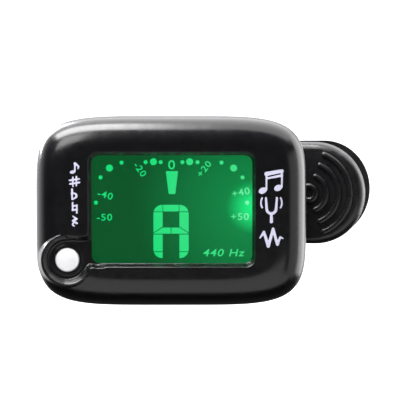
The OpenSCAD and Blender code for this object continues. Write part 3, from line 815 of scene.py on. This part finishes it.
def letters(text, middle, height, turn, place, lift, slant=0.0, stretch=1.15):
    """Characters as thin solid plates, turned about their middle."""
    curve = bpy.data.curves.new("letters", "FONT")
    curve.body = text
    curve.resolution_u = 4
    curve.offset = 0.012
    curve.space_character = 1.12
    item = placed("letters", curve)
    bpy.context.view_layer.update()
    mesh = bpy.data.meshes.new_from_object(item.evaluated_get(bpy.context.evaluated_depsgraph_get()))
    bpy.data.objects.remove(item)
    cells = bmesh.new()
    cells.from_mesh(mesh)
    bmesh.ops.remove_doubles(cells, verts=cells.verts, dist=0.0005)
    bmesh.ops.subdivide_edges(cells, edges=[e for e in cells.edges if e.calc_length() > 0.25], cuts=2)
    flat = np.array([v.co[:2] for v in cells.verts])
    top = [tuple(v.index for v in f.verts) for f in cells.faces]
    rim = [tuple(v.index for v in e.verts) for e in cells.edges if len(e.link_faces) == 1]
    cells.free()
    low, high = flat.min(axis=0), flat.max(axis=0)
    flat = (flat - (low + high) / 2) * height / (high[1] - low[1])
    flat[:, 0] = flat[:, 0] * stretch + slant * flat[:, 1]
    c, s = math.cos(math.radians(turn)), math.sin(math.radians(turn))
    u = middle[0] + flat[:, 0] * c - flat[:, 1] * s
    v = middle[1] + flat[:, 0] * s + flat[:, 1] * c
    count = len(flat)
    faces = top + [tuple(i + count for i in f[::-1]) for f in top]
    faces += [(a, b, b + count, a + count) for a, b in rim]
    return np.vstack([place(u, v, lift), place(u, v, 0)]), faces


def shape_on(distance, middle, reach, step, place, lift):
    """A plate of a shape that stays within a reach of its middle."""
    return plate(distance, (middle[0] - reach[0], middle[1] - reach[1]),
                 (middle[0] + reach[0], middle[1] + reach[1]), step, place, lift)


def needle(u, v):
    """The pointer: a bar that narrows downwards."""
    half = 0.665 + (v - 3.53) * 0.125
    return np.maximum(np.abs(u - AXIS - 0.08) - half, np.abs(v - 5.855) - 2.325)


def note_letter(u, v):
    """The note's seven-segment letter A, cut into its segments."""
    x, y = u - AXIS + 0.11, v
    outer = to_box(x, y, (0, -4.05), (3.57, 5.41), 1.8)
    hollow = np.minimum(to_box(x, y, (0, -1.63), (1.69, 1.62), 0.12),
                        to_box(x, y, (0, -8.5), (1.69, 3.97), 0.12))
    body = np.maximum(outer, -hollow)
    slits = np.minimum.reduce([
        np.abs(y + 0.06) - 0.07, np.abs(y + 8.16) - 0.07, np.abs(y + 4.58) - 0.08,
        np.maximum(np.abs(x + 1.65) - 0.06, -y - 0.5), np.maximum(np.abs(x - 1.62) - 0.06, -y - 0.5),
        np.maximum(np.abs(x) - 0.06, np.abs(y + 3.9) - 0.9),
        np.maximum(np.abs((y + 3.2) + 0.62 * (np.abs(x) - 1.75)) - 0.09, 1.0 - np.abs(x))])
    return np.maximum(body, -slits)


def build_segments():
    """The lit parts of the display: the scale's dots and figures, the pointer and the note."""
    parts, raised = [], 0.03
    for side in (-1, 1):
        small = [(u, v, 0.42)
                 for u, v in ((2.2, 9.98), (5.25, 9.98), (10.1, 9.9), (14.35, 6.9), (15.3, 1.8))]
        for u, v, r in small + [(3.66, 10.07, 0.71), (12.55, 8.8, 0.71)]:
            spot = (AXIS + side * u, v)
            parts.append(shape_on(lambda a, b: np.hypot(a - spot[0], b - spot[1]) - r, spot,
                                  (1, 1), 0.1, on_glass, raised))
    for text, u, v, height, turn in (("0", 0.11, 9.46, 1.9, 0), ("-20", -6.24, 8.51, 1.35, -55),
                                     ("+20", 6.68, 8.61, 1.35, 52), ("-40", -13.3, 3.39, 1.4, -15),
                                     ("+40", 14.09, 3.91, 1.4, 12), ("-50", -13.47, -1.16, 1.4, 0),
                                     ("+50", 13.91, -1.03, 1.4, 0)):
        parts.append(letters(text, (u, v), height, turn, on_glass, raised))
    parts.append(letters("440 Hz", (10.7, -8.35), 1.5, 0, on_glass, raised, slant=0.25, stretch=1.25))
    parts.append(shape_on(needle, (AXIS, 5.8), (2, 3), 0.09, on_glass, raised))
    parts.append(shape_on(note_letter, (AXIS, -4.05), (4, 5.8), 0.07, on_glass, raised))
    piece = add_mesh("display_segments", *joined(parts), smooth=False)
    face_outwards(piece)
    dress(piece, "head", "display_green", SEGMENT)


build_segments()


# ---- printed marks

def union(*shapes):
    """The distance to several shapes together, each of them a function of u and v."""
    return lambda u, v: np.minimum.reduce([shape(u, v) for shape in shapes])


def stroke(start, end, start_r, end_r):
    """A stroke as a shape."""
    return lambda u, v: to_stroke(u, v, start, end, start_r, end_r)


def oval(middle, half, turn):
    """An ellipse turned by some degrees, as a shape."""
    c, s = math.cos(math.radians(turn)), math.sin(math.radians(turn))

    def distance(u, v):
        a, b = u - middle[0], v - middle[1]
        return (np.hypot((a * c + b * s) / half[0], (b * c - a * s) / half[1]) - 1) * min(half)
    return distance


def bow(middle, radius, half, start, end):
    """Part of a ring between two angles in degrees, with round ends."""
    mid, spread = math.radians((start + end) / 2), math.radians((end - start) / 2)

    def distance(u, v):
        a, b = u - middle[0], v - middle[1]
        off = (np.arctan2(b, a) - mid + math.pi) % (2 * math.pi) - math.pi
        ends = [np.hypot(a - radius * math.cos(mid + k * spread), b - radius * math.sin(mid + k * spread))
                for k in (-1, 1)]
        return np.where(np.abs(off) < spread, np.abs(np.hypot(a, b) - radius), np.minimum(*ends)) - half
    return distance


QUAVER = union(
    oval((-0.35, -0.9), (0.5, 0.36), 25), stroke((0.08, -0.8), (0.08, 1.2), 0.1, 0.13),
    stroke((0.08, 1.15), (0.75, 0.45), 0.24, 0.12), stroke((0.75, 0.45), (0.62, -0.2), 0.12, 0.05))
SHARP = union(
    stroke((-0.3, -1.2), (-0.3, 1.05), 0.1, 0.12), stroke((0.34, -1.05), (0.34, 1.2), 0.1, 0.12),
    stroke((-0.8, -0.6), (0.85, -0.25), 0.17, 0.19), stroke((-0.85, 0.25), (0.8, 0.6), 0.19, 0.17))
FLAT = union(
    stroke((-0.45, -1.15), (-0.45, 1.3), 0.11, 0.15), bow((-0.25, -0.3), 0.62, 0.16, -30, 115),
    stroke((0.28, -0.62), (-0.42, -1.15), 0.18, 0.1))
NATURAL = union(
    stroke((-0.36, -0.6), (-0.36, 1.25), 0.11, 0.13), stroke((0.4, -1.25), (0.4, 0.6), 0.13, 0.11),
    stroke((-0.36, -0.6), (0.4, -0.35), 0.17, 0.17), stroke((-0.36, 0.35), (0.4, 0.6), 0.17, 0.17))
REST = union(
    stroke((-0.35, 1.2), (0.3, 0.5), 0.09, 0.2), stroke((0.3, 0.5), (-0.3, 0.0), 0.24, 0.2),
    stroke((-0.3, 0.0), (0.4, -0.55), 0.14, 0.2), bow((0.05, -0.8), 0.42, 0.13, 95, 250))
BEAMED_NOTES = union(
    oval((-1.75, -1.75), (0.85, 0.6), 25), oval((1.35, -1.2), (0.85, 0.6), 25),
    stroke((-1.0, -1.6), (-1.0, 1.7), 0.16, 0.2), stroke((2.1, -1.0), (2.1, 2.3), 0.16, 0.2),
    stroke((-1.0, 1.6), (2.1, 2.2), 0.42, 0.34), stroke((-1.0, 0.7), (2.1, 1.3), 0.18, 0.26))
TUNING_FORK = union(
    stroke((-0.95, 0.3), (-1.1, 2.5), 0.26, 0.2), stroke((0.95, 0.3), (1.1, 2.5), 0.26, 0.2),
    bow((0, 0.3), 0.95, 0.27, 180, 360), stroke((0, -0.7), (0, -2.3), 0.24, 0.34),
    bow((0, 1.5), 2.1, 0.17, -28, 28), bow((0, 1.5), 2.1, 0.17, 152, 208))
WAVE = union(
    stroke((-2.3, 0.2), (-1.5, 1.4), 0.14, 0.28), stroke((-1.5, 1.4), (-0.6, -1.5), 0.28, 0.3),
    stroke((-0.6, -1.5), (0.35, 2.1), 0.3, 0.26), stroke((0.35, 2.1), (1.2, -1.1), 0.26, 0.28),
    stroke((1.2, -1.1), (1.8, 0.4), 0.28, 0.2), stroke((1.8, 0.4), (2.4, 0.1), 0.2, 0.1))


def build_marks():
    """Five small signs down the left of the face and three larger ones down the right."""
    parts, raised = [], 0.02
    for mark, v in ((QUAVER, 8.85), (SHARP, 6.2), (FLAT, 3.55), (NATURAL, 0.9), (REST, -1.75)):
        spot = (-19.35, v)
        parts.append(shape_on(lambda a, b: mark((a - spot[0]) / 1.1, (b - spot[1]) / 0.84) - 0.03,
                              spot, (1.7, 1.6), 0.09, on_face, raised))
    for mark, v in ((BEAMED_NOTES, 6.1), (TUNING_FORK, 0.4), (WAVE, -5.4)):
        spot = (20.2, v)
        parts.append(shape_on(lambda a, b: mark(a - spot[0], b - spot[1]),
                              spot, (3.2, 3.2), 0.12, on_face, raised))
    piece = add_mesh("printed_marks", *joined(parts), smooth=False)
    face_outwards(piece)
    ink = plain("printed_ink", srgb(214, 212, 236), 0.5, 0.2, 2600)
    dress(piece, "head", "case_black", ink)


build_marks()


# ---- the power button

def turned(name, profile, middle, count=72):
    """A round piece about the Y axis from (radius, depth behind the head's front) pairs."""
    points = []
    for radius, depth in profile:
        for k in range(count):
            a = 2 * math.pi * k / count
            points.append((middle[0] + radius * math.cos(a), FRONT_Y + depth,
                           middle[1] + radius * math.sin(a)))
    piece = add_mesh(name, points, tube_faces(len(profile), count))
    face_outwards(piece)
    return piece


def build_button():
    """The power button, slightly domed and with a rounded edge."""
    front, dome_drop, corner = BUTTON_FRONT + 0.01, 0.16, 0.34
    dome = [(r, front + dome_drop * (r / BUTTON_R) ** 2) for r in np.linspace(0.2, BUTTON_R - 0.35, 8)]
    edge = [(BUTTON_R - 0.35 + corner * math.sin(a), front + dome_drop * 0.73 + corner * (1 - math.cos(a)))
            for a in np.linspace(0.15, math.pi / 2, 7)]
    depth = BUTTON_HIGH[1] - FRONT_Y
    flange = (BUTTON_HIGH[0] - BUTTON_LOW[0]) / 2 - 0.02
    rest = [(BUTTON_R - 0.01, BUTTON_SEAT + 0.12), (flange - 0.08, BUTTON_SEAT + 0.12),
            (flange, BUTTON_SEAT + 0.2), (flange, depth - 0.1), (flange - 0.1, depth - 0.01),
            (0.4, depth - 0.01)]
    middle = (MID_X + BUTTON_U, MID_Z + BUTTON_V)
    piece = turned("power_button_cap", dome + edge + rest, middle)
    even = piece.modifiers.new("even", "WEIGHTED_NORMAL")
    even.keep_sharp = False
    apply_modifiers(piece)
    dress(piece, "button", "button_white", MATERIALS["button_white"], "power_button")


build_button()


# ---- the clip

# Which way the handles run from the pivot, and out from the front one. Ridges are arcs about
# these (x, y) places on the outer faces. A rim slopes over its width, stretched towards the back.
HANDLE = np.array([math.cos(SPLAY), -math.sin(SPLAY)])
OUT = np.array([-math.sin(SPLAY), -math.cos(SPLAY)])
PADDLE_R = 10.8
FRONT_RIDGES = (32.61, -8.16)
REAR_RIDGES = (35.41, 11.31)
RIDGE_ZONE = 14
RIM_FROM = -8.5
RIM_FADE = 3
RIM_WIDTH = 1.25
RIM_DEEP = 1.1
RIM_STRETCH = 1.7
RIM_LEAN = 0.5


def lever_axes(cells, centre, mirror):
    """A lever's handle: a spot on its outer face, the way along it, the way out, and the paddle's place."""
    way = Vector((HANDLE[0], HANDLE[1] * mirror, 0))
    normal = Vector((OUT[0], OUT[1] * mirror, 0))
    spot = Vector((centre[0], centre[1], 0)) * MM
    tip = max((v.co - spot).dot(way) for v in cells.verts) / MM
    return spot, way, normal, tip - PADDLE_R


def flatten_ridges(cells, centre, mirror):
    """Flattens a lever's facetted ridges into its outer face, under the rounded ones."""
    high_spot, level_gap = 0.003, 0.006
    spot, way, normal, paddle = lever_axes(cells, centre, mirror)
    for vertex in cells.verts:
        off = (vertex.co - spot) / MM
        high = off.dot(normal)
        if off.dot(way) > paddle - RIDGE_ZONE and high > high_spot:
            vertex.co -= normal * high * MM
    level = [f for f in cells.faces
             if all(abs((v.co - spot).dot(normal)) < level_gap * MM for v in f.verts)]
    bmesh.ops.delete(cells, geom=level, context="FACES")
    bmesh.ops.edgeloop_fill(cells, edges=[e for e in cells.edges if e.is_boundary])
    bmesh.ops.recalc_face_normals(cells, faces=cells.faces)


def slope_rim(cells, centre, mirror):
    """Leans the rounded rim of a paddle's outer face, so that it slopes over most of the thickness."""
    spot, way, normal, paddle = lever_axes(cells, centre, mirror)
    for vertex in cells.verts:
        off = (vertex.co - spot) / MM
        along, deep, across = off.dot(way) - paddle, -off.dot(normal), off.z
        if along < RIM_FROM or not -0.01 <= deep <= LEVER_T - 0.01:
            continue
        reach = math.hypot(along, across) if along > 0 else abs(across)
        edge = PADDLE_R - reach
        if edge > RIM_WIDTH:
            continue
        share = min(1, (along - RIM_FROM) / RIM_FADE)
        if deep < RIM_DEEP:
            lower = RIM_STRETCH * deep
            inward = RIM_LEAN * max(0, edge) * share
        else:
            left = (LEVER_T - RIM_STRETCH * RIM_DEEP) / (LEVER_T - RIM_DEEP)
            lower = LEVER_T - (LEVER_T - deep) * left
            inward = 0
        if along > 0:
            vertex.co -= (way * along + Vector((0, 0, across))) * inward / reach * MM
        else:
            vertex.co.z -= math.copysign(inward, across) * MM
        vertex.co -= normal * (lower - deep) * share * MM


def ridge_arc(radius, centre, mirror, foot=0.62, rise=0.5, spread=68):
    """A raised arc on a lever's paddle, with a rounded crest and ends, facing away from the head."""
    crest = [(foot * math.cos(a), rise * max(0, math.sin(a)) ** 0.8) for a in np.linspace(0, math.pi, 11)]
    crest = [(x * (1 if h > 0.02 else 1.15), h) for x, h in crest]
    crest += [(-foot * 0.9, -0.25), (foot * 0.9, -0.25)]
    end = math.radians(spread)
    tip = [(-end - foot / radius * math.cos(a), math.sin(a)) for a in np.radians(np.linspace(8, 90, 7))]
    turns = np.linspace(-end, end, 20 + int(radius * 5))[1:-1]
    sweep = tip + [(t, 1.0) for t in turns] + [(-t, size) for t, size in tip[::-1]]
    made = []
    for t, size in sweep:
        for x, h in crest:
            r = radius + x * size
            along, across = r * math.cos(t), r * math.sin(t)
            lift = h * size if h > 0 else h
            made.append((centre[0] + along * HANDLE[0] + lift * OUT[0],
                         centre[1] + mirror * (along * HANDLE[1] + lift * OUT[1]), across))
    return np.array(made), tube_faces(len(sweep), len(crest))


def build_lever(name, node, body, centre, mirror):
    """A lever with softened edges, and its ridges."""
    piece = smooth_copy(name, node, 0.18, 40, [lambda cells: flatten_ridges(cells, centre, mirror)],
                        [lambda cells: slope_rim(cells, centre, mirror)])
    dress(piece, body, "clip_black", MATERIALS["clip_black"], node)
    parts = [ridge_arc(radius, centre, mirror) for radius in (3.8, 6.4, 8.8)]
    parts.append(ridge_arc(1.5, centre, mirror, spread=180))
    ridges = add_mesh(name + "_ridges", *joined(parts))
    face_outwards(ridges)
    dress(ridges, body, "clip_black", MATERIALS["clip_black"])


build_lever("front_paddle", "front_lever", "clip", FRONT_RIDGES, 1)
build_lever("rear_paddle", "rear_lever", "rear_jaw", REAR_RIDGES, -1)


def build_spring():
    """The torsion spring: a coil round the pin with a leg against each lever."""
    wire, coil, leg, pitch = 0.5, 2.05, 9.0, 1.04
    lever_gap, play = 3.4, 0.05
    rise = 2 * math.sin(SPLAY) + lever_gap * math.cos(SPLAY)
    lean = SPLAY + math.asin((rise - wire - play - coil) / leg)
    turns = 4 + 2 * (90 + math.degrees(lean)) / 360
    height = pitch * turns
    steps = int(turns * 40)
    path = []
    for k in range(steps + 1):
        a = -math.pi / 2 - lean - 2 * math.pi * turns * k / steps
        path.append((coil * math.cos(a), coil * math.sin(a), -height / 2 + height * k / steps))
    first, last = np.array(path[0]), np.array(path[-1])
    way = np.array([math.cos(lean), -math.sin(lean), 0])
    lead = [tuple(first + way * t) for t in np.linspace(leg, 0.3, 14)]
    way[1] *= -1
    tail = [tuple(last + way * t) for t in np.linspace(0.3, leg, 14)]
    path = np.array(lead + path + tail) + (PIVOT[0], PIVOT[1], 0)
    tangent = np.gradient(path, axis=0)
    tangent /= np.linalg.norm(tangent, axis=1, keepdims=True)
    points, count = [], 18
    for spot, way in zip(path, tangent):
        side = np.cross(way, (0, 0, 1))
        side /= np.linalg.norm(side)
        up = np.cross(side, way)
        for k in range(count):
            a = 2 * math.pi * k / count
            points.append(spot + (wire - 0.01) * (math.cos(a) * side + math.sin(a) * up))
    piece = add_mesh("torsion_spring_coil", points, tube_faces(len(path), count))
    face_outwards(piece)
    piece.data.materials.append(MATERIALS["spring_steel"])
    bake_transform(piece)
    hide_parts("torsion_spring")


build_spring()


# ---- everything else

record = frame["record"]
SOFTENED = {"rear_cover": (0.2, 30), "battery_door": (0.15, 30), "swivel_post": (0.2, 30),
            "front_pad": (0.2, 40), "rear_pad": (0.2, 40), "pivot_pin": (0.12, 40),
            "case_screws": (0.08, 40), "hinge_screw": (0.1, 40), "hinge_nut": (0.1, 40),
            "swivel_screw": (0.08, 40), "friction_washer": (0.06, 40), "retaining_washer": (0.06, 40)}
slots = {part["node"]: part["material_slot"] for part in record["subparts"]}
homes = {node: body for body, nodes in record["behaviour"]["bodies"].items() for node in nodes}
for node, (width, angle) in SOFTENED.items():
    piece = smooth_copy(node + "_soft", node, width, angle)
    dress(piece, homes[node], slots[node], MATERIALS[slots[node]], node)
for node, item in frame["nodes"].items():
    item.data.materials.clear()
    item.data.materials.append(MATERIALS[slots[node]])


# ---- camera, light and backdrop

scene = bpy.context.scene
scene.view_settings.view_transform = "Standard"
camera_data = bpy.data.cameras.new("camera")
camera = placed("camera", camera_data)
scene.camera = camera
CAMERA_RISE = math.radians(3)
CAMERA_AWAY = 400 * MM
target = Vector((MID_X + 5.85, FRONT_Y + 7.2, MID_Z + 2.09)) * MM
view_way = Vector((0, math.cos(CAMERA_RISE), -math.sin(CAMERA_RISE)))
camera.location = target - view_way * CAMERA_AWAY
camera.rotation_euler = view_way.to_track_quat("-Z", "Y").to_euler()
camera_data.sensor_width = 36
camera_data.lens = 175.95
camera_data.clip_end = 20


def softbox(name, low, high, facing, power):
    """A soft light over a flat rectangle in millimetres. It shines along the facing axis."""
    axis = {"x": 0, "y": 1, "z": 2}[facing[1]]
    others = [k for k in range(3) if k != axis]
    data = bpy.data.lights.new(name, "AREA")
    data.shape = "RECTANGLE"
    lamp = placed(name, data)
    way = Vector([0, 0, 0])
    way[axis] = 1 if facing[0] == "+" else -1
    lamp.location = (Vector(low) + Vector(high)) / 2 * MM
    turn = way.to_track_quat("-Z", "Y")
    lamp.rotation_euler = turn.to_euler()
    size = [abs(high[k] - low[k]) * MM for k in range(3)]
    local = turn.inverted() @ Vector(size)
    data.size, data.size_y = abs(local[0]), abs(local[1])
    data.energy = power * math.pi * size[others[0]] * size[others[1]]
    lamp.visible_camera = False


softbox("key_above", (-190, -122, 190), (-4, -26, 190), "-z", 17.0)
softbox("wide_above", (-220, -124, 200), (260, 200, 200), "-z", 3.4)
softbox("card_below", (-420, -620, -330), (460, -190, -330), "+z", 1.15)
softbox("card_low_front", (-420, -620, -330), (460, -620, -135), "+y", 1.1)
softbox("window_right", (330, -40, -160), (330, 260, 260), "-x", 4.0)
softbox("soft_right", (330, -300, -230), (330, -50, 120), "-x", 0.9)
softbox("back_left", (-420, 200, 60), (-120, 200, 430), "-y", 16.0)
softbox("fill_front", (-460, -420, 240), (-120, -420, 560), "+y", 8.0)


def build_world():
    """A dark room towards the camera and a bright studio wall behind, fading below."""
    world = bpy.data.worlds.new("studio")
    scene.world = world
    world.use_nodes = True
    tree = world.node_tree
    parts = tree.nodes.new("ShaderNodeSeparateXYZ")
    feed(tree, parts.inputs[0], tree.nodes.new("ShaderNodeTexCoord").outputs["Generated"])

    def ramp(output, *values):
        """An output mapped from one range to another."""
        node = tree.nodes.new("ShaderNodeMapRange")
        for name, value in zip(("Value", "From Min", "From Max", "To Min", "To Max"), (output, *values)):
            feed(tree, node.inputs[name], value)
        return node.outputs["Result"]

    back = tree.nodes["Background"]
    back.inputs["Color"].default_value = (0.97, 0.97, 1.0, 1)
    strength = calculated(tree, "MULTIPLY", ramp(parts.outputs["Y"], -0.12, 0.42, 0.05, 1.7),
                          ramp(parts.outputs["Z"], -0.5, -0.08, 0.04, 1.0))
    feed(tree, back.inputs["Strength"], strength)


build_world()


def build_backdrop():
    """A wide white bowl round the object, a pale floor that curves up on every side."""
    points, count = [], 96
    low = LEVER_LOW[2] - 70
    flat, curve = 700, 600
    profile = [(0.5, 0), (300, 0), (flat, 0)]
    profile += [(flat + curve * math.sin(a), curve * (1 - math.cos(a)))
                for a in np.linspace(0.1, math.pi / 2, 14)]
    profile += [(flat + curve, 1100), (flat + curve, 1900)]
    for radius, lift in profile:
        for k in range(count):
            a = 2 * math.pi * k / count
            points.append((MID_X + radius * math.cos(a), radius * math.sin(a), low + lift))
    faces = tube_faces(len(profile), count, ends=False) + [tuple(range(count))]
    floor = add_mesh("backdrop_floor", points, faces)
    paper = Surface("backdrop_paper", (0.9, 0.9, 0.9), 0.8).drift(8, 0.01)
    paper.bump(paper.noise(60), 0.05, 0.5)
    paper.shader.inputs["Emission Color"].default_value = (1, 1, 1, 1)
    paper.shader.inputs["Emission Strength"].default_value = 1.2
    floor.data.materials.append(paper.material)
    for ray in ("diffuse", "glossy", "transmission", "shadow"):
        setattr(floor, "visible_" + ray, False)


build_backdrop()
